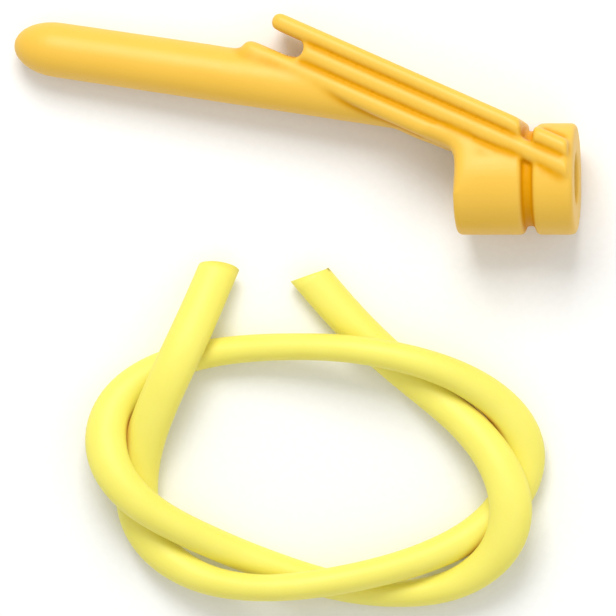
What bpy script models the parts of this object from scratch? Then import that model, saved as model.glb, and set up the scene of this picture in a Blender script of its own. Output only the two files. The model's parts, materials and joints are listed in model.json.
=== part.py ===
"""Hand-held gear oil pump: an offset hand grip with a foot-valve hub, and its loose hose.

The pump head is one moulding. A round grip runs into a ribbed arm, and the arm carries a hub with
a stepped bore. The foot valve sits in the bore: strainer, seat, ball and cage from the inlet end,
and the hose spigot with its gland nut at the other end. The hose lies beside the head.

Units are metres with +Z up. The head is drawn in its own frame, with x along the hub's bore, the
inlet face at x = 0, and z across the arm. An empty then lays it on its side, as it rests.
"""

import math

import bmesh
import bpy
from mathutils import Matrix, Vector

MM = 0.001
GAP = 0.3 * MM                      # clearance between neighbouring pieces
WELD = 0.01 * MM                    # points closer than this are one point
ROUND_STEPS = 56                    # sides of a large turned piece

# Hub: a round boss with a band groove near its inlet face
HUB_R = 27.75 * MM
HUB_LENGTH = 59.6 * MM
HUB_EDGE_R = 2.6 * MM
BAND_GROOVE_START = 19.8 * MM       # from the inlet face
BAND_GROOVE_WIDTH = 6.1 * MM
BAND_GROOVE_DEPTH = 4.4 * MM

# Stepped bore: an inlet chamber, a wall with the delivery port, and the hose socket
CHAMBER_R = 12.5 * MM
CHAMBER_DEPTH = 38.0 * MM
PORT_R = 7.0 * MM
PORT_WALL = 3.0 * MM
SOCKET_R = 14.5 * MM

# Grip: a straight round rod with a long rounded nose, offset from the hub
GRIP_R = 14.2 * MM
GRIP_NOSE_R = 13.7 * MM
GRIP_NOSE_LENGTH = 22.0 * MM
GRIP_TIP = Vector((-282.5, 68.2, 0.0)) * MM
GRIP_LENGTH = 196.0 * MM
GRIP_SLOPE = math.radians(8.5)

# Arm: three round-edged planks that fall to the hub and widen towards it
ARM_SLOPE = math.radians(23.9)
ARM_REF = Vector((-118.7, 69.7, 0.0)) * MM      # a point on the arm's top edge
TOP_PLANK_H = 8.2 * MM
MID_PLANK_H = 9.9 * MM
LOW_PLANK_H = 9.3 * MM
PLANK_LAP = 0.3 * MM                            # overlap of neighbouring planks
TOP_PLANK_REACH = (-34.2 * MM, 136.0 * MM)      # start and end along the arm from ARM_REF
MID_PLANK_REACH = (-28.0 * MM, 140.0 * MM)
LOW_PLANK_REACH = (-43.2 * MM, 100.0 * MM)
ARM_HALF_WIDTH = 15.9 * MM                      # at ARM_REF
ARM_WIDENING = 0.1228                           # half width gained for each metre along x
SPINE_R = 12.0 * MM                             # rounded underside of the arm
SPINE_PROUD = 2.1 * MM                          # how far it stands out below the lowest plank
SPINE_REACH = (15.0 * MM, 78.0 * MM)
PLANK_END = 2.2 * MM                            # the planks stop this far short of the inlet face
THROAT_R = 4.9 * MM
THROAT_ALONG = -18.1 * MM

# Foot valve
STRAINER_R = CHAMBER_R - GAP
STRAINER_THICK = 1.4 * MM
STRAINER_AT = 9.0 * MM
STRAINER_HOLE_R = 1.1 * MM
CLIP_THICK = 1.0 * MM
CLIP_GROOVE = 0.9 * MM
CLIP_OPENING = 6.0 * MM
SEAT_LENGTH = 7.0 * MM
SEAT_HOLE_R = 6.0 * MM
O_RING_R = 0.9 * MM
BALL_R = 7.5 * MM
BALL_TRAVEL = 4.0 * MM
CAGE_FINGER_WIDTH = 3.0 * MM

# Hose spigot and gland nut
SPIGOT_FLANGE_R = SOCKET_R - GAP
SPIGOT_FLANGE_THICK = 4.4 * MM
SPIGOT_TUBE_R = 4.6 * MM
SPIGOT_BORE_R = 3.2 * MM
BARB_R = 5.6 * MM
BARB_PITCH = 2.4 * MM
BARB_COUNT = 3
NUT_INNER_R = 9.2 * MM
NUT_LENGTH = 9.0 * MM
NUT_SLOT = 3.2 * MM
NUT_SLOT_DEPTH = 2.5 * MM

# How the head lies: turned about x, then about y, then raised to stand on the floor
REST_ROLL = math.radians(-2.41)
REST_PITCH = math.radians(-3.18)
HEAD_ORIGIN = Vector((140.26, -27.45, 30.84)) * MM

# Hose
HOSE_R = 7.75 * MM
HOSE_POINTS = 78                    # points on the finished centre line
# Chosen places along the hose in millimetres: two turns, each wound once under and over the other
HOSE_ROUTE = [
    (-39.5, -71.5, 9), (-49.5, -97, 21), (-61, -122, 26), (-73, -147, 19), (-81, -172, 9),
    (-81, -196, 8), (-69, -215, 10), (-47, -228, 16), (-18, -232, 23), (12, -229, 26),
    (43, -223, 22), (71, -214, 14), (95, -201, 9), (111, -182, 8), (115, -160, 9),
    (104, -140, 14), (82, -125, 21), (55, -116, 26), (25, -111, 23), (-5, -110.5, 15),
    (-35, -112, 9), (-64, -118, 8), (-86, -131, 9), (-97, -150, 17), (-94, -172, 25),
    (-77, -191, 26), (-53, -204, 18), (-26, -216, 10), (2, -226, 8), (30, -233, 8),
    (58, -235, 9), (83, -229, 13), (102, -214, 20), (109, -194, 25), (104, -172, 24),
    (87, -150, 16), (64, -132, 9), (41, -113, 8), (22, -94, 8), (6, -75, 8),
]


for old in list(bpy.data.objects):
    bpy.data.objects.remove(old, do_unlink=True)

part = bpy.data.collections.new("gear_oil_pump")
tools = bpy.data.collections.new("cutters")
bpy.context.scene.collection.children.link(part)
bpy.context.scene.collection.children.link(tools)

head = bpy.data.objects.new("head_frame", None)
head.location = HEAD_ORIGIN
head.rotation_euler = (REST_ROLL, REST_PITCH, 0.0)
part.objects.link(head)


def material(name, colour, roughness, metallic=0.0):
    """A Principled material with a plain colour."""
    made = bpy.data.materials.new(name)
    made.use_nodes = True
    shader = made.node_tree.nodes["Principled BSDF"]
    shader.inputs["Base Color"].default_value = (*colour, 1.0)
    shader.inputs["Roughness"].default_value = roughness
    shader.inputs["Metallic"].default_value = metallic
    return made


YELLOW_MOULDING = material("yellow_moulding", (0.95, 0.61, 0.08), 0.42)
HOSE_PVC = material("hose_pvc", (1.0, 0.88, 0.18), 0.38)
WHITE_ACETAL = material("white_acetal", (0.85, 0.84, 0.78), 0.35)
BLACK_NITRILE = material("black_nitrile", (0.02, 0.02, 0.02), 0.6)
STAINLESS = material("stainless_steel", (0.62, 0.62, 0.62), 0.3, 1.0)
BLACK_NYLON = material("black_nylon", (0.03, 0.03, 0.035), 0.45)


def place(obj, collection=part, frame=head):
    """Put an object in one collection and hang it on its frame."""
    for old_home in list(obj.users_collection):
        old_home.objects.unlink(obj)
    collection.objects.link(obj)
    obj.parent = frame
    if collection is tools:
        obj.hide_render = True
        obj.display_type = "WIRE"
    return obj


def mesh_object(name, bm, collection=part):
    """Finish a bmesh as an object with its faces pointing outwards."""
    bmesh.ops.remove_doubles(bm, verts=bm.verts, dist=WELD)
    bmesh.ops.dissolve_degenerate(bm, edges=bm.edges, dist=WELD)
    bmesh.ops.recalc_face_normals(bm, faces=bm.faces)
    mesh = bpy.data.meshes.new(name)
    bm.to_mesh(mesh)
    bm.free()
    obj = bpy.data.objects.new(name, mesh)
    bpy.context.scene.collection.objects.link(obj)
    return place(obj, collection)


def solid_copy(source, name, collection=part):
    """A plain mesh of what an object evaluates to, with its seams welded."""
    bpy.context.view_layer.update()
    shape = source.evaluated_get(bpy.context.evaluated_depsgraph_get())
    mesh = bpy.data.meshes.new_from_object(shape)
    bm = bmesh.new()
    bm.from_mesh(mesh)
    bpy.data.meshes.remove(mesh)
    made = mesh_object(name, bm, collection)
    made.matrix_world = source.matrix_world
    bpy.data.objects.remove(source, do_unlink=True)
    return made


def turned(name, profile, collection=part, steps=ROUND_STEPS, closed=True):
    """Turn an outline of (x, radius) points about the x axis."""
    bm = bmesh.new()
    points = [bm.verts.new((x, radius, 0.0)) for x, radius in profile]
    for here, there in zip(points, points[1:]):
        bm.edges.new((here, there))
    if closed:
        bm.edges.new((points[-1], points[0]))
    mesh = bpy.data.meshes.new(name)
    bm.to_mesh(mesh)
    bm.free()
    sketch = bpy.data.objects.new(name + "_sketch", mesh)
    bpy.context.scene.collection.objects.link(sketch)
    place(sketch)
    screw = sketch.modifiers.new("Turn", "SCREW")
    screw.axis = "X"
    screw.steps = steps
    screw.render_steps = steps
    screw.use_merge_vertices = True
    screw.merge_threshold = 1e-6
    return solid_copy(sketch, name, collection)


def box(name, low, high, collection=tools):
    """A box between two corners."""
    bm = bmesh.new()
    bmesh.ops.create_cube(bm, size=1.0)
    low, high = Vector(low), Vector(high)
    for vert in bm.verts:
        vert.co = (low + high) / 2 + Vector(a * b for a, b in zip(vert.co, high - low))
    return mesh_object(name, bm, collection)


def rod(name, radius, start, end, collection=tools, sides=32):
    """A cylinder between two points."""
    start, end = Vector(start), Vector(end)
    span = end - start
    bm = bmesh.new()
    turn = span.to_track_quat("Z", "Y").to_matrix().to_4x4()
    bmesh.ops.create_cone(bm, cap_ends=True, segments=sides, radius1=radius, radius2=radius,
                          depth=span.length, matrix=Matrix.Translation((start + end) / 2) @ turn)
    return mesh_object(name, bm, collection)


def boolean(target, other, operation):
    """Cut a piece with another shape, or join the two."""
    step = target.modifiers.new(other.name, "BOOLEAN")
    step.operation = operation
    step.object = other
    step.solver = "EXACT"
    return target


def finish(obj, finish_material, angle=35.0):
    """Shade a piece smooth, keep its real edges sharp, and give it its material."""
    obj.data.shade_smooth()
    obj.data.set_sharp_from_angle(angle=math.radians(angle))
    obj.data.materials.clear()
    obj.data.materials.append(finish_material)
    return obj


def arc(centre, radius, start, end, count):
    """Points of a circular arc, with angles in degrees."""
    points = []
    for step in range(count + 1):
        angle = math.radians(start + (end - start) * step / count)
        points.append((centre[0] + radius * math.cos(angle), centre[1] + radius * math.sin(angle)))
    return points


# Pump head moulding: hub, arm and grip in one piece ------------------------------------------------

def hub_outline():
    """Outside of the hub from the inlet face to the back face, closed along the axis."""
    edge, back = HUB_EDGE_R, -HUB_LENGTH
    near, far = -BAND_GROOVE_START, -BAND_GROOVE_START - BAND_GROOVE_WIDTH
    lip = 1.0 * MM
    floor_r = HUB_R - BAND_GROOVE_DEPTH
    outline = [(0.0, 0.0)]
    outline += arc((-edge, HUB_R - edge), edge, 0, 90, 4)
    outline += [(near + lip, HUB_R), (near, HUB_R - lip), (near - lip, floor_r)]
    outline += [(far + lip, floor_r), (far, HUB_R - lip), (far - lip, HUB_R)]
    outline += arc((back + edge, HUB_R - edge), edge, 90, 180, 4)
    outline.append((back, 0.0))
    return outline


ARM_ALONG = Vector((math.cos(ARM_SLOPE), -math.sin(ARM_SLOPE), 0.0))
ARM_DOWN = Vector((-math.sin(ARM_SLOPE), -math.cos(ARM_SLOPE), 0.0))


def on_arm(along, down):
    """A point of the arm's middle plane, measured from its reference point."""
    return ARM_REF + ARM_ALONG * along + ARM_DOWN * down


def half_width(x):
    """The arm's half width across its planks at one place along the head."""
    return ARM_HALF_WIDTH + ARM_WIDENING * (x - ARM_REF.x)


def arm_block(name, reach, top, height, side_room=0.0):
    """A block of the arm between two places along it, tapering with the arm's width."""
    bm = bmesh.new()
    bmesh.ops.create_cube(bm, size=1.0)
    for vert in bm.verts:
        along = reach[0] if vert.co.x < 0 else reach[1]
        side = math.copysign(1.0, vert.co.z)
        spot = on_arm(along, top + height * (0.5 - vert.co.y))
        vert.co = (spot.x, spot.y, side * (half_width(spot.x) + side_room))
    return mesh_object(name, bm, tools)


def plank(name, reach, top, height):
    """One round-edged plank of the arm, which laps a little into the next one."""
    board = arm_block(name + "_board", reach, top, height + PLANK_LAP)
    bevel = board.modifiers.new("Round edges", "BEVEL")
    bevel.width = height * 0.46
    bevel.segments = 4
    bevel.limit_method = "NONE"
    return solid_copy(board, name, tools)


mid_top = TOP_PLANK_H
low_top = TOP_PLANK_H + MID_PLANK_H
top_plank = plank("top_plank", TOP_PLANK_REACH, 0.0, TOP_PLANK_H)
mid_plank = plank("mid_plank", MID_PLANK_REACH, mid_top, MID_PLANK_H)
low_plank = plank("low_plank", LOW_PLANK_REACH, low_top, LOW_PLANK_H)

# The slot behind the top plank's free end has a round bottom
throat_mid = mid_top + MID_PLANK_H / 2
throat_at = on_arm(THROAT_ALONG, throat_mid)
across = Vector((0.0, 0.0, 2.0 * HUB_R))
throat = rod("throat", THROAT_R, throat_at - across, throat_at + across)
throat_mouth = arm_block("throat_mouth", (THROAT_ALONG - 20 * MM, THROAT_ALONG), mid_top - PLANK_LAP,
                         MID_PLANK_H + 3 * PLANK_LAP, side_room=5 * MM)
boolean(mid_plank, throat, "DIFFERENCE")
boolean(mid_plank, throat_mouth, "DIFFERENCE")

# The band groove runs through the top plank and under the middle one
groove_slot = turned("groove_slot", [
    (-BAND_GROOVE_START - BAND_GROOVE_WIDTH + 1.0 * MM, 0.0),
    (-BAND_GROOVE_START - BAND_GROOVE_WIDTH, HUB_R - 1.0 * MM),
    (-BAND_GROOVE_START - BAND_GROOVE_WIDTH, 2.0 * HUB_R),
    (-BAND_GROOVE_START, 2.0 * HUB_R),
    (-BAND_GROOVE_START, HUB_R - 1.0 * MM),
    (-BAND_GROOVE_START - 1.0 * MM, 0.0)], tools, closed=False)
boolean(top_plank, groove_slot, "DIFFERENCE")

# Both long planks are cut off square, just short of the inlet face
past_end = box("past_end", (-PLANK_END, -HUB_R, -2 * HUB_R), (HUB_R, 2 * HUB_R, 2 * HUB_R))
boolean(top_plank, past_end, "DIFFERENCE")
boolean(mid_plank, past_end, "DIFFERENCE")
bare_hub = turned("bare_hub", hub_outline(), tools, closed=False)


def grip_outline():
    """Side of the grip from its nose tip, slightly thicker towards the arm."""
    outline = []
    for step in range(9):
        angle = math.radians(90.0 * step / 8)
        outline.append((GRIP_NOSE_LENGTH * (1.0 - math.cos(angle)), GRIP_NOSE_R * math.sin(angle)))
    outline += [(GRIP_LENGTH, GRIP_R), (GRIP_LENGTH + GRIP_R * 0.5, GRIP_R * 0.8),
                (GRIP_LENGTH + GRIP_R * 0.8, 0.0)]
    return outline


grip = turned("grip", grip_outline(), tools, steps=40, closed=False)
grip.location = GRIP_TIP
grip.rotation_euler = (0.0, 0.0, -GRIP_SLOPE)
spine_down = low_top + LOW_PLANK_H + SPINE_PROUD - SPINE_R
spine = rod("spine", SPINE_R, on_arm(SPINE_REACH[0], spine_down), on_arm(SPINE_REACH[1], spine_down), sides=40)


def bore_outline():
    """The stepped bore as one cutter, open at both ends of the hub."""
    past = 1.0 * MM
    back = -HUB_LENGTH - past
    port = -CHAMBER_DEPTH - PORT_WALL
    groove_back = -STRAINER_AT + GAP
    groove_front = groove_back + CLIP_THICK + GAP
    groove_r = CHAMBER_R + CLIP_GROOVE
    return [(past, 0.0), (past, CHAMBER_R), (groove_front, CHAMBER_R), (groove_front, groove_r),
            (groove_back, groove_r), (groove_back, CHAMBER_R), (-CHAMBER_DEPTH, CHAMBER_R),
            (-CHAMBER_DEPTH, PORT_R), (port, PORT_R), (port, SOCKET_R), (back, SOCKET_R), (back, 0.0)]


bore = turned("bore", bore_outline(), tools, closed=False)

body = solid_copy(bare_hub, "body_blank", tools)
for other in (top_plank, mid_plank, low_plank, grip, spine):
    boolean(body, other, "UNION")
boolean(body, bore, "DIFFERENCE")
body = solid_copy(body, "pump_head_moulding")
finish(body, YELLOW_MOULDING)


# Foot valve, from the inlet end --------------------------------------------------------------------

def perforated(target, hole_r, x_from, x_to, rings):
    """Drill rings of holes through a disc, each ring given as (radius, count)."""
    number = 0
    for ring_r, count in rings:
        for step in range(count):
            angle = 2.0 * math.pi * step / count
            y, z = ring_r * math.cos(angle), ring_r * math.sin(angle)
            drill = rod(f"{target.name}_drill_{number}", hole_r, (x_from, y, z), (x_to, y, z), sides=8)
            boolean(target, drill, "DIFFERENCE")
            number += 1
    return target


def ring(name, x_near, x_far, inner_r, outer_r):
    """A plain ring between two places on the axis."""
    return turned(name, [(x_near, inner_r), (x_near, outer_r), (x_far, outer_r), (x_far, inner_r)])


def o_ring(name, x_middle, middle_r):
    """A round-section sealing ring."""
    section = arc((x_middle, middle_r), O_RING_R, 0, 315, 7)
    return finish(turned(name, section, steps=40), BLACK_NITRILE)


clip_back = -STRAINER_AT + 1.5 * GAP
clip_front = clip_back + CLIP_THICK
strainer_clip = ring("strainer_clip", clip_front, clip_back, CHAMBER_R - 2.2 * MM,
                     CHAMBER_R + CLIP_GROOVE - GAP)
clip_gap = box("clip_gap", (clip_back - 1 * MM, 0.0, -CLIP_OPENING / 2),
               (clip_front + 1 * MM, 2 * CHAMBER_R, CLIP_OPENING / 2))
boolean(strainer_clip, clip_gap, "DIFFERENCE")
finish(strainer_clip, STAINLESS)

strainer_near = -STRAINER_AT
strainer = turned("inlet_strainer", [(strainer_near, 0.0), (strainer_near, STRAINER_R),
                                     (strainer_near - STRAINER_THICK, STRAINER_R),
                                     (strainer_near - STRAINER_THICK, 0.0)], closed=False, steps=40)
perforated(strainer, STRAINER_HOLE_R, strainer_near + 1 * MM, strainer_near - STRAINER_THICK - 1 * MM,
           [(3.2 * MM, 6), (6.6 * MM, 12), (9.8 * MM, 16)])
finish(strainer, STAINLESS)

seat_near = strainer_near - STRAINER_THICK - GAP
seat_far = seat_near - SEAT_LENGTH
seat_middle = (seat_near + seat_far) / 2
seal_half = O_RING_R + 0.2 * MM
seal_floor = CHAMBER_R - GAP - 2 * O_RING_R - 0.2 * MM
valve_seat = turned("valve_seat", [
    (seat_near, SEAT_HOLE_R + 1.5 * MM), (seat_near, CHAMBER_R - GAP),
    (seat_middle + seal_half, CHAMBER_R - GAP),
    (seat_middle + seal_half, seal_floor), (seat_middle - seal_half, seal_floor),
    (seat_middle - seal_half, CHAMBER_R - GAP), (seat_far, CHAMBER_R - GAP),
    (seat_far, SEAT_HOLE_R + 0.8 * MM), (seat_far + 0.8 * MM, SEAT_HOLE_R),
    (seat_near - 1.5 * MM, SEAT_HOLE_R)])
finish(valve_seat, WHITE_ACETAL)
seat_o_ring = o_ring("seat_o_ring", seat_middle, CHAMBER_R - GAP - O_RING_R - 0.05 * MM)

ball_rest = seat_far - math.sqrt(BALL_R ** 2 - SEAT_HOLE_R ** 2) - 0.2 * MM
bpy.ops.mesh.primitive_uv_sphere_add(segments=32, ring_count=16, radius=BALL_R, location=(0, 0, 0))
valve_ball = bpy.context.object
valve_ball.name = "valve_ball"
place(valve_ball)
valve_ball.location = (ball_rest, 0.0, 0.0)
finish(valve_ball, STAINLESS)

cage_far = -CHAMBER_DEPTH + GAP
cage_near = ball_rest - BALL_R - BALL_TRAVEL - GAP
cage = turned("ball_cage", [(cage_near, 0.0), (cage_near, CHAMBER_R - GAP), (cage_far, CHAMBER_R - GAP),
                            (cage_far, 0.0)], closed=False, steps=40)
for quarter in range(4):
    finger = box(f"cage_finger_{quarter}", (seat_far - GAP, BALL_R + 0.4 * MM, -CAGE_FINGER_WIDTH / 2),
                 (cage_far + 1 * MM, CHAMBER_R - 2 * GAP, CAGE_FINGER_WIDTH / 2))
    finger.rotation_euler = (math.pi / 4 + quarter * math.pi / 2, 0.0, 0.0)
    boolean(cage, finger, "UNION")
perforated(cage, 1.9 * MM, cage_near + 1 * MM, cage_far - 1 * MM, [(5.2 * MM, 8)])
finish(cage, BLACK_NYLON)

# Hose end of the hub: barbed spigot, its seal, and the gland nut -------------------------------------
flange_near = -CHAMBER_DEPTH - PORT_WALL - GAP
flange_far = flange_near - SPIGOT_FLANGE_THICK
flange_middle = (flange_near + flange_far) / 2
flange_floor = SPIGOT_FLANGE_R - 2 * O_RING_R - 0.2 * MM
barb_outline = []
barb_start = flange_far - 2.0 * MM
for number in range(BARB_COUNT):
    at = barb_start - number * BARB_PITCH
    barb_outline += [(at, SPIGOT_TUBE_R), (at, BARB_R), (at - BARB_PITCH * 0.9, SPIGOT_TUBE_R)]
spigot_end = barb_start - BARB_COUNT * BARB_PITCH
spigot = turned("hose_spigot", [
    (flange_near, SPIGOT_BORE_R), (flange_near, SPIGOT_FLANGE_R),
    (flange_middle + seal_half, SPIGOT_FLANGE_R),
    (flange_middle + seal_half, flange_floor), (flange_middle - seal_half, flange_floor),
    (flange_middle - seal_half, SPIGOT_FLANGE_R), (flange_far, SPIGOT_FLANGE_R),
    (flange_far, SPIGOT_TUBE_R), *barb_outline,
    (spigot_end, SPIGOT_TUBE_R), (spigot_end, SPIGOT_BORE_R)], steps=40)
finish(spigot, BLACK_NYLON)
spigot_o_ring = o_ring("spigot_o_ring", flange_middle, SPIGOT_FLANGE_R - O_RING_R - 0.05 * MM)

nut_near = flange_far - GAP
nut_far = nut_near - NUT_LENGTH
gland_nut = ring("gland_nut", nut_near, nut_far, NUT_INNER_R, SPIGOT_FLANGE_R)
for turn in range(3):
    slot = box(f"nut_slot_{turn}", (nut_far - 1 * MM, -SOCKET_R * 1.2, -NUT_SLOT / 2),
               (nut_far + NUT_SLOT_DEPTH, SOCKET_R * 1.2, NUT_SLOT / 2))
    slot.rotation_euler = (turn * math.pi / 3, 0.0, 0.0)
    boolean(gland_nut, slot, "DIFFERENCE")
finish(gland_nut, BLACK_NYLON)

# Hose: loose, coiled in two turns beside the head ----------------------------------------------------

def spline_point(route, at):
    """A point of the smooth cubic curve that the route points draw, with at from 0 to 1."""
    padded = [2 * route[0] - route[1]] + route + [2 * route[-1] - route[-2]]
    spans = len(route) - 1
    first = min(int(at * spans), spans - 1)
    t = at * spans - first
    a, b, c, d = padded[first:first + 4]
    return (a * (1 - t) ** 3 + b * (3 * t ** 3 - 6 * t ** 2 + 4)
            + c * (-3 * t ** 3 + 3 * t ** 2 + 3 * t + 1) + d * t ** 3) / 6


def hose_line():
    """The hose's centre line, which never sinks below the floor."""
    route = [Vector(point) * MM for point in HOSE_ROUTE]
    line = [spline_point(route, step / (HOSE_POINTS - 1)) for step in range(HOSE_POINTS)]
    return [Vector((point.x, point.y, max(point.z, HOSE_R + 0.05 * MM))) for point in line]


tube = bpy.data.curves.new("hose", "CURVE")
tube.dimensions = "3D"
tube.bevel_depth = HOSE_R
tube.bevel_resolution = 3
tube.use_fill_caps = True
centre_line = hose_line()
spline = tube.splines.new("POLY")
spline.points.add(len(centre_line) - 1)
for point, place_on_line in zip(spline.points, centre_line):
    point.co = (*place_on_line, 1.0)
tube.materials.append(HOSE_PVC)
hose = bpy.data.objects.new("hose", tube)
part.objects.link(hose)
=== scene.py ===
"""Hand-held gear oil pump lying on its side, with its hose coiled beside it. Units are metres."""
import json
import math

import bmesh
import bpy
import numpy
from mathutils import Matrix, Vector
from mathutils.kdtree import KDTree


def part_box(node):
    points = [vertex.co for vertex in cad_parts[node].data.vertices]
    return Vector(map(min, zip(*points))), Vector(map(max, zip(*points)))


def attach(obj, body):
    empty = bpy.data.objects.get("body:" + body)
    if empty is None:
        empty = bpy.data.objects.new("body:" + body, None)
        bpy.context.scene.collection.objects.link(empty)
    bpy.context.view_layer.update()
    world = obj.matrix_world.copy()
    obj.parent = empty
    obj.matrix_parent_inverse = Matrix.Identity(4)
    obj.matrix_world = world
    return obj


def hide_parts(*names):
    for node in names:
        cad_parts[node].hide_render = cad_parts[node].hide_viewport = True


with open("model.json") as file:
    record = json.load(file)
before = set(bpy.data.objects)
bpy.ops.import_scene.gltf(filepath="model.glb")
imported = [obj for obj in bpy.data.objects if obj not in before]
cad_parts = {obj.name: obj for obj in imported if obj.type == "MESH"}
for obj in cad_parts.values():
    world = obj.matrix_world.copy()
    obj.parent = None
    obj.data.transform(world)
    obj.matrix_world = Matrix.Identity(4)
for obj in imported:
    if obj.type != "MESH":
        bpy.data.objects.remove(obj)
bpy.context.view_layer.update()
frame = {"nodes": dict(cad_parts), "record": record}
bpy.ops.object.select_all(action="DESELECT")

# Camera. It looks down on the two pieces from high above with a long lens, leaning a few degrees
# towards the inlet end so that the hub's end face just shows.
VIEW_WIDTH = 0.3065
VIEW_DISTANCE = 5.0
VIEW_LEAN = math.radians(3.5)
view_target = Vector((0.0062, -0.0915, 0.026))
view_direction = Vector((math.sin(VIEW_LEAN), 0.0, math.cos(VIEW_LEAN)))
bpy.ops.object.camera_add(rotation=(0.0, VIEW_LEAN, 0.0))
camera = bpy.context.object
camera.name = "camera"
camera.location = view_target + VIEW_DISTANCE * view_direction
camera.data.lens = camera.data.sensor_width * VIEW_DISTANCE / VIEW_WIDTH
bpy.context.scene.camera = camera

# Hose. A lemon-yellow tube of soft PVC, extruded, and cut off by hand at both ends. It is loose,
# wound in two turns that lie on the floor and over each other, and the bends press it a little flat.
HALF_HEIGHT = 0.00765
HALF_WIDTH = 0.0067        # where it runs along x
FLATTENING = 0.0040        # how much half-width it gains where it runs along y
FLATTENING_POWER = 1.3     # how late in a bend the gain comes
LOWEST_LINE = 0.00785      # its centre line stays this high, so that it lies on the floor
RINGS = 313
SIDES = 40
BORE_SHARE = 0.62          # the bore's size as a share of the outside
BORE_RINGS = 5             # how many rings deep the open bore is made at each end
START_SLANT = 0.26         # how far each end is cut off square: 1 is 45 degrees
FINISH_SLANT = -0.5
HOSE_ROUTE_MM = [
    (-39.5, -71.5, 9), (-49.5, -97, 21), (-61, -122, 26), (-73, -147, 19), (-81, -172, 9),
    (-81, -196, 8), (-69, -215, 10), (-47, -228, 16), (-18, -232, 23), (12, -229, 26),
    (43, -223, 22), (71, -214, 14), (95, -201, 9), (111, -182, 8), (115, -160, 9),
    (104, -140, 14), (82, -125, 21), (55, -116, 26), (25, -111, 23), (-5, -110.5, 15),
    (-35, -112, 9), (-64, -118, 8), (-86, -131, 9), (-97, -150, 17), (-94, -172, 25),
    (-77, -191, 26), (-53, -204, 18), (-26, -216, 10), (2, -226, 8), (30, -233, 8),
    (58, -235, 9), (83, -229, 13), (102, -214, 20), (109, -194, 25), (104, -172, 24),
    (87, -150, 16), (64, -132, 9), (41, -113, 8), (22, -94, 8), (6, -75, 8),
]


def spline_point(route, at):
    """A point of the smooth cubic curve that the route points draw, with at from 0 to 1."""
    padded = [2 * route[0] - route[1]] + route + [2 * route[-1] - route[-2]]
    spans = len(route) - 1
    first = min(int(at * spans), spans - 1)
    t = at * spans - first
    a, b, c, d = padded[first:first + 4]
    return (a * (1 - t) ** 3 + b * (3 * t ** 3 - 6 * t ** 2 + 4)
            + c * (-3 * t ** 3 + 3 * t ** 2 + 3 * t + 1) + d * t ** 3) / 6


def bridge(shell, near, far):
    """A band of faces between two rings of a closed shell."""
    for side in range(SIDES):
        shell.faces.new((near[side], near[side - 1], far[side - 1], far[side]))


hose_route = [Vector(point) / 1000 for point in HOSE_ROUTE_MM]
hose_line = [spline_point(hose_route, step / (RINGS - 1)) for step in range(RINGS)]
hose_line = [Vector((point.x, point.y, max(point.z, LOWEST_LINE))) for point in hose_line]

# The section at each step along the hose: the ways across and up, and the half-width
sections = []
for number in range(RINGS):
    ahead = hose_line[min(number + 1, RINGS - 1)] - hose_line[max(number - 1, 0)]
    ahead.normalize()
    sideways = ahead.cross(Vector((0, 0, 1))).normalized()
    half_width = HALF_WIDTH + FLATTENING * abs(ahead.y) ** FLATTENING_POWER
    sections.append((sideways, sideways.cross(ahead), half_width))

shell = bmesh.new()
rings = []
for middle, (sideways, upwards, half_width) in zip(hose_line, sections):
    ring = []
    for side in range(SIDES):
        turn = 2 * math.pi * side / SIDES
        across = sideways * half_width * math.cos(turn)
        ring.append(shell.verts.new(middle + across + upwards * HALF_HEIGHT * math.sin(turn)))
    rings.append(ring)
for end, inward, slant in ((0, 1, START_SLANT), (-1, -1, FINISH_SLANT)):
    middle = hose_line[end]
    outward = (middle - hose_line[end + inward]).normalized()
    for vertex in rings[end]:
        vertex.co += outward * slant * (vertex.co.x - middle.x)
for near, far in zip(rings, rings[1:]):
    bridge(shell, near, far)
for end, inward in ((0, 1), (-1, -1)):
    middle = hose_line[end]
    bore_depth = hose_line[end + inward * BORE_RINGS] - middle
    lip = [shell.verts.new(middle + (vertex.co - middle) * BORE_SHARE) for vertex in rings[end]]
    bottom = [shell.verts.new(vertex.co + bore_depth) for vertex in lip]
    bridge(shell, rings[end], lip)
    bridge(shell, lip, bottom)
    shell.faces.new(bottom)
bmesh.ops.recalc_face_normals(shell, faces=shell.faces)
mesh = bpy.data.meshes.new("hose_tube")
shell.to_mesh(mesh)
shell.free()
mesh.shade_smooth()
hose = bpy.data.objects.new("hose_tube", mesh)
bpy.context.scene.collection.objects.link(hose)
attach(hose, "pump_head")
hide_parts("hose")

# Where one turn presses on another the skins touch, and painted shade turns the gap between them dark
# orange.
CONTACT_REACH = 0.14       # how far beyond the other turn's skin, as a share of its size
CONTACT_SEARCH = 0.0135    # how near the other turn's centre line has to be
ANOTHER_TURN = 25          # rings this far along the hose belong to another turn
CONTACT_PASSES = 4         # how far the painted shade is evened out along the hose
contact_shade = numpy.zeros((RINGS, SIDES))
line_tree = KDTree(RINGS)
for number, point in enumerate(hose_line):
    line_tree.insert(point, number)
line_tree.balance()
for number in range(contact_shade.size):
    own, side = divmod(number, SIDES)
    spot = mesh.vertices[number].co
    for middle, other, _ in line_tree.find_range(spot, CONTACT_SEARCH):
        if abs(other - own) > ANOTHER_TURN:
            sideways, upwards, half_width = sections[other]
            across = (spot - middle).dot(sideways) / half_width
            above = (spot - middle).dot(upwards) / HALF_HEIGHT
            closeness = 1.0 - (math.hypot(across, above) - 1.0) / CONTACT_REACH
            contact_shade[own, side] = max(contact_shade[own, side], min(1.0, closeness))
for _ in range(CONTACT_PASSES):
    contact_shade = (2 * contact_shade + numpy.roll(contact_shade, 1, axis=0) + numpy.roll(contact_shade, -1, axis=0)) / 4
values = numpy.zeros(len(mesh.vertices))
values[:contact_shade.size] = contact_shade.ravel()
mesh.attributes.new("contact_shade", "FLOAT", "POINT").data.foreach_set("value", values)


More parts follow.
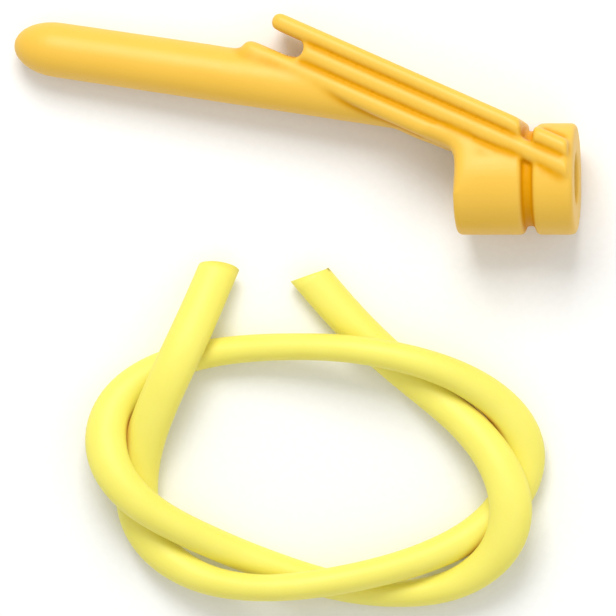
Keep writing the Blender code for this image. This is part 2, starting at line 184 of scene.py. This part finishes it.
def linear(hex_colour):
    """A colour written as sRGB hex, as the shaders take it."""
    channels = [int(hex_colour[k:k + 2], 16) / 255 for k in (1, 3, 5)]
    return tuple(c / 12.92 if c <= 0.04045 else ((c + 0.055) / 1.055) ** 2.4 for c in channels) + (1.0,)


def feed(material, node, links):
    """Link a node's inputs to other nodes' outputs."""
    for key, (source, output) in links.items():
        material.node_tree.links.new(source.outputs[output], node.inputs[key])


def add(material, kind, settings=None, inputs=None, links=None):
    """Add a node with its settings and constant inputs, and feed the rest from other nodes."""
    node = material.node_tree.nodes.new(kind)
    for key, value in (settings or {}).items():
        setattr(node, key, value)
    for key, value in (inputs or {}).items():
        node.inputs[key].default_value = value
    feed(material, node, links or {})
    return node


def start_material(name, roughness, ior=1.5, metallic=0.0):
    """A new material, its shader and a source of the object's own coordinates."""
    material = bpy.data.materials.new(name)
    material.use_nodes = True
    shader = material.node_tree.nodes["Principled BSDF"]
    shader.inputs["Roughness"].default_value = roughness
    shader.inputs["IOR"].default_value = ior
    shader.inputs["Metallic"].default_value = metallic
    return material, shader, add(material, "ShaderNodeTexCoord")


def patches(material, place, size_mm, detail=2.0):
    """Soft patches of about one size, fixed to the object."""
    return add(material, "ShaderNodeTexNoise", inputs={"Scale": 1000.0 / size_mm, "Detail": detail},
               links={"Vector": (place, "Object")})


def tinted(material, pattern, first, second):
    """A colour that drifts between two tints by a pattern."""
    return add(material, "ShaderNodeMix", {"data_type": "RGBA"}, {6: linear(first), 7: linear(second)},
               {0: (pattern, "Fac")})


def overlaid(material, attribute, under, over):
    """A colour that turns from a node's tint to another where the mesh's attribute says so."""
    share = add(material, "ShaderNodeAttribute", {"attribute_name": attribute})
    tint = add(material, "ShaderNodeMix", {"data_type": "RGBA"}, {7: linear(over)},
               {0: (share, "Fac"), 6: (under, 2)})
    return share, tint


def ranged(material, source, low, high):
    """A value that runs from low to high as a source's factor runs from 0 to 1."""
    return add(material, "ShaderNodeMapRange", inputs={"To Min": low, "To Max": high},
               links={"Value": (source, "Fac")})


def bumped(material, pattern, strength, height):
    """A fine relief of a pattern, up to a height in metres."""
    return add(material, "ShaderNodeBump", inputs={"Strength": strength, "Distance": height},
               links={"Height": (pattern, "Fac")})


# Plasticised PVC, extruded: a soft cloudy yellow that lets a little light in, with a low even gloss.
soft_pvc, shader, place = start_material("plasticised_pvc_extruded", 0.5)
cloudy = tinted(soft_pvc, patches(soft_pvc, place, 22.2, 3.0), "#ECE15C", "#F2E96D")
# Painted shade: the hose turns dark orange where its turns touch.
skin = overlaid(soft_pvc, "contact_shade", cloudy, "#C8801C")[1]
relief = bumped(soft_pvc, patches(soft_pvc, place, 1.11), 0.12, 0.0002)
feed(soft_pvc, shader, {"Base Color": (skin, 2), "Normal": (relief, "Normal")})
shader.inputs["Subsurface Weight"].default_value = 0.2
shader.inputs["Subsurface Radius"].default_value = (1.0, 0.75, 0.15)
shader.inputs["Subsurface Scale"].default_value = 0.003
hose.data.materials.append(soft_pvc)

# Pump head moulding. Grip, arm and hub in one piece of golden-yellow nylon, injection moulded in a
# polished mould, with soft inside corners where the arm's planks run into the grip and the hub.
VOXEL = 0.00085
SKIN_PASSES = 7            # smoothing of the whole skin
SOFT_SPOTS = {             # where corners are softer still, in the head's axes: (x, y), reach and passes
    "low_plank_end": ((-0.167, 0.066), 0.017, 70),
    "plank_into_grip": ((-0.145, 0.050), 0.026, 30),
    "arm_into_hub": ((-0.064, 0.009), 0.018, 240),
    "notch": ((-0.023, 0.027), 0.010, 45),
    "plank_run_out": ((-0.0025, 0.010), 0.016, 22),
}
HOLLOW_RISE = 0.03         # a neighbour's mean rise, in voxels, that counts as fully hollow
HOLLOW_PASSES = 14         # how far the painted crease shade spreads
HOLLOW_KEEP = 0.4          # how much of its own value a point keeps in each pass
HOLLOW_GAIN = 2.0


def refined_copy(node, name):
    """A merged copy of a CAD node that stands for it and takes its finish from one slot."""
    source = frame["nodes"][node]
    copy = source.copy()
    copy.data = source.data.copy()
    copy.name = name
    bpy.context.scene.collection.objects.link(copy)
    bpy.ops.object.select_all(action="DESELECT")
    copy.select_set(True)
    bpy.context.view_layer.objects.active = copy
    bpy.ops.object.mode_set(mode="EDIT")
    bpy.ops.mesh.select_all(action="SELECT")
    bpy.ops.mesh.remove_doubles(threshold=0.00002)
    bpy.ops.object.mode_set(mode="OBJECT")
    copy.data.materials.clear()
    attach(copy, "valve_ball" if node == "valve_ball" else "pump_head")
    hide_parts(node)
    return copy


def apply_modifiers(piece):
    """Apply every modifier on a piece, in order."""
    bpy.context.view_layer.objects.active = piece
    for modifier in list(piece.modifiers):
        bpy.ops.object.modifier_apply(modifier=modifier.name)


def neighbour_sum(pairs, at_start, at_end, count):
    """For each point, the sum over its edges of one value per edge, seen from either end."""
    return numpy.bincount(pairs[:, 0], at_start, count) + numpy.bincount(pairs[:, 1], at_end, count)


# The head's own axes: x along the bore towards the inlet, y towards the grip's side
mounts = {mount["name"]: mount for mount in frame["record"]["mounts"]}
bore_x = Vector(mounts["inlet_face"]["axis"]).normalized()
inlet_spot = Vector(mounts["inlet_face"]["pos_m"])
low_ball, high_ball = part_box("valve_ball")
ball_centre = (Vector(low_ball) + Vector(high_ball)) / 2
inlet_centre = ball_centre + bore_x * (inlet_spot - ball_centre).dot(bore_x)
bore_y = (inlet_centre - inlet_spot).normalized()
bore_z = bore_x.cross(bore_y)
to_head = Matrix((bore_x, bore_y, bore_z)).to_4x4() @ Matrix.Translation(-inlet_centre)

moulding = refined_copy("pump_head_moulding", "head_moulding")
voxels = moulding.modifiers.new("voxels", "REMESH")
voxels.mode = "VOXEL"
voxels.voxel_size = VOXEL
moulding.modifiers.new("soften", "SMOOTH").iterations = SKIN_PASSES
apply_modifiers(moulding)
for name, (spot, reach, passes) in SOFT_SPOTS.items():
    group = moulding.vertex_groups.new(name=name)
    for vertex in moulding.data.vertices:
        at = to_head @ vertex.co
        share = 1.0 - math.hypot(at.x - spot[0], at.y - spot[1]) / reach
        if share > 0:
            group.add([vertex.index], min(1.0, 2.0 * share), "REPLACE")
    blend = moulding.modifiers.new(name, "SMOOTH")
    blend.vertex_group = name
    blend.iterations = passes
apply_modifiers(moulding)
moulding.data.shade_smooth()

# How hollow each point is, for the painted shade that darkens the creases: how far its neighbours rise
# above it on average, spread a few times to the points around
mesh = moulding.data
count = len(mesh.vertices)
points = numpy.empty(count * 3)
normals = numpy.empty(count * 3)
pairs = numpy.empty(len(mesh.edges) * 2, dtype=numpy.int64)
mesh.vertices.foreach_get("co", points)
mesh.vertices.foreach_get("normal", normals)
mesh.edges.foreach_get("vertices", pairs)
points = points.reshape(-1, 3)
normals = normals.reshape(-1, 3)
pairs = pairs.reshape(-1, 2)
neighbours = numpy.bincount(pairs.ravel(), minlength=count)
span = points[pairs[:, 1]] - points[pairs[:, 0]]
start_rise = (span * normals[pairs[:, 0]]).sum(1)
end_rise = (-span * normals[pairs[:, 1]]).sum(1)
rise = neighbour_sum(pairs, start_rise, end_rise, count) / neighbours
crease_shade = numpy.clip(rise / (HOLLOW_RISE * VOXEL), 0.0, 1.0)
for _ in range(HOLLOW_PASSES):
    around = neighbour_sum(pairs, crease_shade[pairs[:, 1]], crease_shade[pairs[:, 0]], count) / neighbours
    crease_shade = HOLLOW_KEEP * crease_shade + (1.0 - HOLLOW_KEEP) * around
crease_shade = numpy.clip(HOLLOW_GAIN * crease_shade, 0.0, 1.0)
mesh.attributes.new("crease_shade", "FLOAT", "POINT").data.foreach_set("value", crease_shade)

# Nylon, injection moulded: satin, a little cloudy, with painted shade where the wall folds inwards: a
# deeper orange colour and a dimmed reflection.
satin_nylon, shader, place = start_material("nylon_injection_moulded", 0.4, 1.52)
cloudy = tinted(satin_nylon, patches(satin_nylon, place, 45.5, 4.0), "#E6B534", "#ECBD43")
# Painted shade: the colour turns a deeper orange in the creases.
creased, wall = overlaid(satin_nylon, "crease_shade", cloudy, "#DA9A00")
# Painted shade: the reflection is dimmed in the creases.
shine = ranged(satin_nylon, creased, 0.5, 0.1)
sheen = ranged(satin_nylon, patches(satin_nylon, place, 7.7, 5.0), 0.4, 0.52)
relief = bumped(satin_nylon, patches(satin_nylon, place, 0.714), 0.15, 0.0002)
feed(satin_nylon, shader, {"Base Color": (wall, 2), "Specular IOR Level": (shine, "Result"),
                           "Roughness": (sheen, "Result"), "Normal": (relief, "Normal")})
moulding.data.materials.append(satin_nylon)

# Inlet strainer. A disc punched from stainless sheet, with three rings of round holes. It sits in
# the inlet's mouth between the snap ring and the valve seat, and keeps grit out of the valve.
SHARP_CORNER = math.radians(40)


def eased_copy(node, name, edge, material):
    """A refined copy with its outside edges eased by a small bevel."""
    piece = refined_copy(node, name)
    bevel = piece.modifiers.new("edges", "BEVEL")
    bevel.width = edge
    bevel.segments = 2
    bevel.limit_method = "ANGLE"
    bevel.angle_limit = SHARP_CORNER
    apply_modifiers(piece)
    bpy.ops.object.shade_smooth_by_angle(angle=SHARP_CORNER)
    piece.data.materials.append(material)
    return piece


# Stainless steel, rolled: bright, with fine rolling lines, 25 mm long and 0.4 mm apart.
rolled_steel, shader, place = start_material("stainless_steel_rolled", 0.3, metallic=1.0)
shader.inputs["Base Color"].default_value = linear("#C9C8C4")
stretch = add(rolled_steel, "ShaderNodeMapping", inputs={"Scale": (1 / 0.025, 1 / 0.0004, 1 / 0.025)},
              links={"Vector": (place, "Object")})
lines = add(rolled_steel, "ShaderNodeTexNoise", inputs={"Scale": 1.0, "Detail": 3.0},
            links={"Vector": (stretch, "Vector")})
feed(rolled_steel, shader, {"Roughness": (ranged(rolled_steel, lines, 0.22, 0.42), "Result")})
eased_copy("inlet_strainer", "strainer_disc", 0.00012, rolled_steel)

# Snap ring. A split ring of the same rolled stainless steel, sprung into a groove in the inlet's
# wall in front of the strainer, which it holds in.
eased_copy("strainer_clip", "snap_ring", 0.00015, rolled_steel)

# Valve seat. An acetal ring, turned on a lathe and pushed into the bore behind the strainer. The
# ball closes on the chamfered edge of its hole.
# Acetal, turned: milky white and faintly mottled, with a waxy gloss.
acetal, shader, place = start_material("acetal_turned", 0.33, 1.48)
milky = tinted(acetal, patches(acetal, place, 3.33), "#E4E1D6", "#EFEDE4")
feed(acetal, shader, {"Base Color": (milky, 2)})
eased_copy("valve_seat", "seat_ring", 0.00015, acetal)

# Sealing rings. Two O-rings of nitrile rubber, moulded: one stretched round the seat and one round
# the spigot, each lying in its groove.
# Nitrile rubber, moulded: matt black with a faint grey bloom.
nitrile, shader, place = start_material("nitrile_rubber_moulded", 0.6, 1.52)
bloom = tinted(nitrile, patches(nitrile, place, 2.0, 3.0), "#151515", "#242423")
feed(nitrile, shader, {"Base Color": (bloom, 2)})
for node, name in (("seat_o_ring", "seat_seal"), ("spigot_o_ring", "spigot_seal")):
    seal = refined_copy(node, name)
    seal.modifiers.new("round", "SUBSURF")
    apply_modifiers(seal)
    seal.data.shade_smooth()
    seal.data.materials.append(nitrile)

# Valve ball. A ball of stainless steel, ground and polished, loose in its cage. It lifts off the
# seat as oil comes in and falls back on it.
# Stainless steel, ground: a mirror with faint scuffs, which blur its reflections in patches.
ground_steel, shader, place = start_material("stainless_steel_ground", 0.12, metallic=1.0)
shader.inputs["Base Color"].default_value = linear("#D4D4D2")
scuffed = ranged(ground_steel, patches(ground_steel, place, 1.25, 4.0), 0.08, 0.2)
feed(ground_steel, shader, {"Roughness": (scuffed, "Result")})
ball = refined_copy("valve_ball", "check_ball")
finer = ball.modifiers.new("finer", "SUBSURF")
finer.levels = 2
finer.render_levels = 2
apply_modifiers(ball)
ball_radius = (high_ball[0] - low_ball[0]) / 2
for vertex in ball.data.vertices:
    vertex.co = ball_centre + (vertex.co - ball_centre).normalized() * ball_radius
ball.data.shade_smooth()
ball.data.materials.append(ground_steel)

# Ball cage. A disc with holes and four fingers, moulded in black glass-filled nylon and pushed into
# the bore behind the seat. The fingers guide the ball and the disc stops its lift.
# Glass-filled nylon, moulded: near black, with a grey bloom of fibre at a slightly rough surface.
filled_nylon, shader, place = start_material("glass_filled_nylon_moulded", 0.46, 1.54)
fibre = patches(filled_nylon, place, 1.43, 6.0)
feed(filled_nylon, shader, {"Base Color": (tinted(filled_nylon, fibre, "#1C1C1E", "#35353A"), 2),
                            "Normal": (bumped(filled_nylon, fibre, 0.2, 0.0001), "Normal")})
eased_copy("ball_cage", "cage", 0.0002, filled_nylon)

# Hose spigot. A tube of the same nylon, moulded, with a flange that seats in the hub's socket and
# three barbs that the hose is pushed over.
eased_copy("hose_spigot", "barbed_spigot", 0.00015, filled_nylon)

# Gland nut. A ring of the same nylon, moulded, with six slots for a pin spanner. It screws into the
# hub's socket and clamps the spigot's flange.
eased_copy("gland_nut", "slotted_nut", 0.0003, filled_nylon)

# Floor and light. A white paper sweep under an even white sky, with a broad soft lamp over the
# head's side and a weaker one over the inlet's side.
WORLD_STRENGTH = 0.66
LAMPS = {                  # each lamp's place, power in watts and size
    "key": ((-0.1, 1.1, 1.5), 25.0, 1.0),
    "fill": ((0.8, -0.5, 1.5), 3.0, 1.6),
}
bpy.ops.mesh.primitive_plane_add(size=6.0, location=(0, 0, 0))
floor = bpy.context.object
floor.name = "floor"

# White paper: matt, with a barely visible mottle of fibres.
paper, shader, place = start_material("white_paper", 0.9)
feed(paper, shader, {"Base Color": (tinted(paper, patches(paper, place, 3.33), "#F2F2F0", "#F7F7F6"), 2)})
floor.data.materials.append(paper)
for name, (spot, power, size) in LAMPS.items():
    bpy.ops.object.light_add(type="AREA", location=spot)
    lamp = bpy.context.object
    lamp.name = name
    lamp.data.energy = power
    lamp.data.size = size
    lamp.rotation_euler = (view_target - lamp.location).to_track_quat("-Z", "Y").to_euler()
world = bpy.data.worlds.new("studio")
world.use_nodes = True
world.node_tree.nodes["Background"].inputs["Color"].default_value = (1.0, 1.0, 1.0, 1.0)
world.node_tree.nodes["Background"].inputs["Strength"].default_value = WORLD_STRENGTH
bpy.context.scene.world = world
bpy.context.scene.view_settings.view_transform = "Standard"
